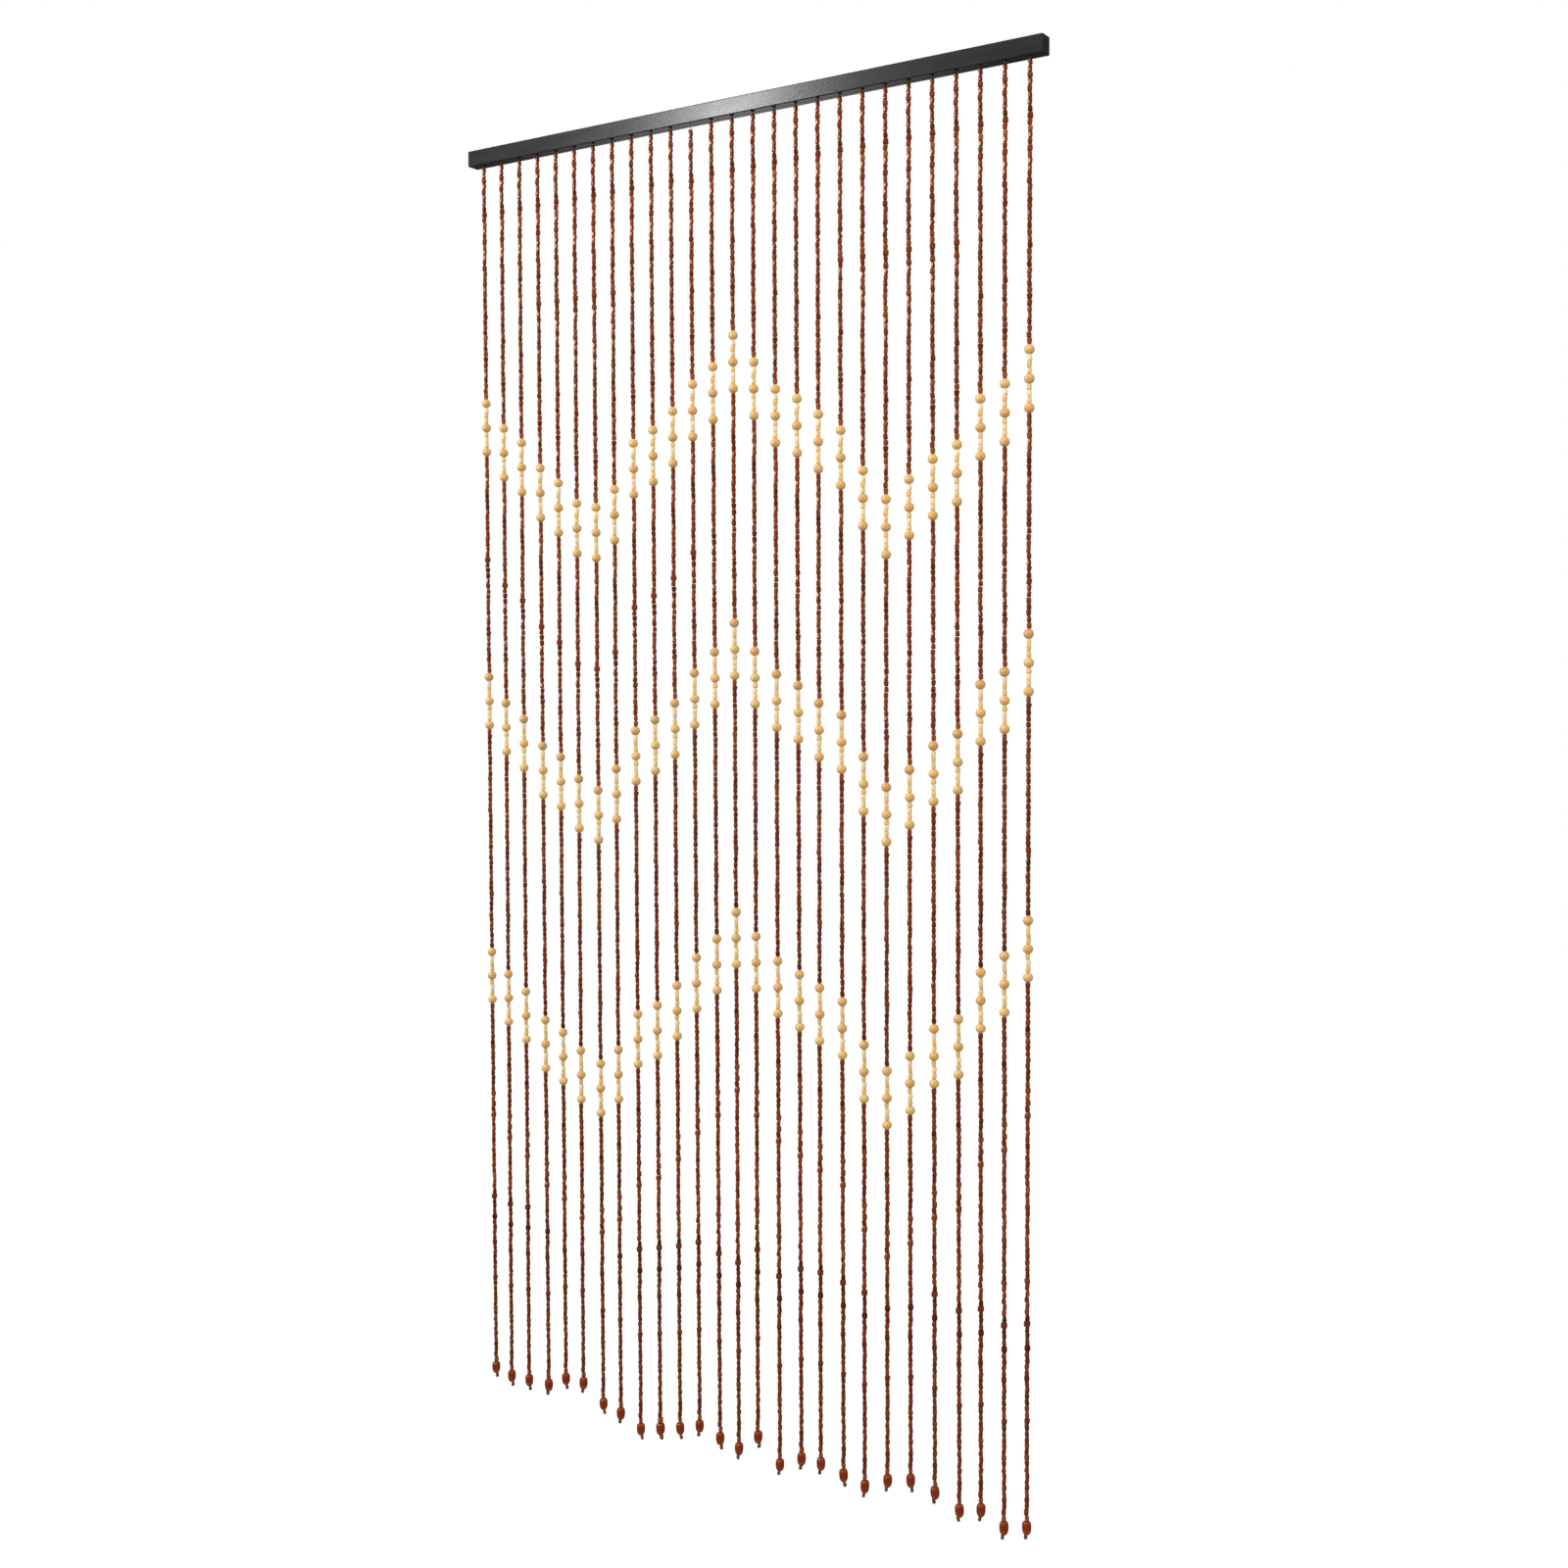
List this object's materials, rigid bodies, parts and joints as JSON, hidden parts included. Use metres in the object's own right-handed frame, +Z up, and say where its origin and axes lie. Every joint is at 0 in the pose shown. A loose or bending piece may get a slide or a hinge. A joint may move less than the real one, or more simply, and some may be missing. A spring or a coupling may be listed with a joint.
{
  "type": "wooden bead string curtain on its rail",
  "caption": "Straight black rail with a row of hanging wooden bead strings whose pale round beads form zigzag bands; each string ends in an oval bead and a knot.",
  "frame": {"origin": "middle of the rail's top face", "axes": "+Z up out of the rail's top face, +X along the rail to the right seen from the front, +Y to the back"},
  "size_m": [0.9, 0.02, 1.8289],
  "materials": {
    "black_lacquer": "satin black lacquer",
    "brown_beads": "glossy red-brown lacquer",
    "cream_beads": "satin clear lacquer on pale wood",
    "end_beads": "glossy red-brown lacquer",
    "thread": "pale twisted thread"
  },
  "bodies": {
    "root": {"rail": "black_lacquer", "bead_strings": "brown_beads"}
  },
  "joints": []
}
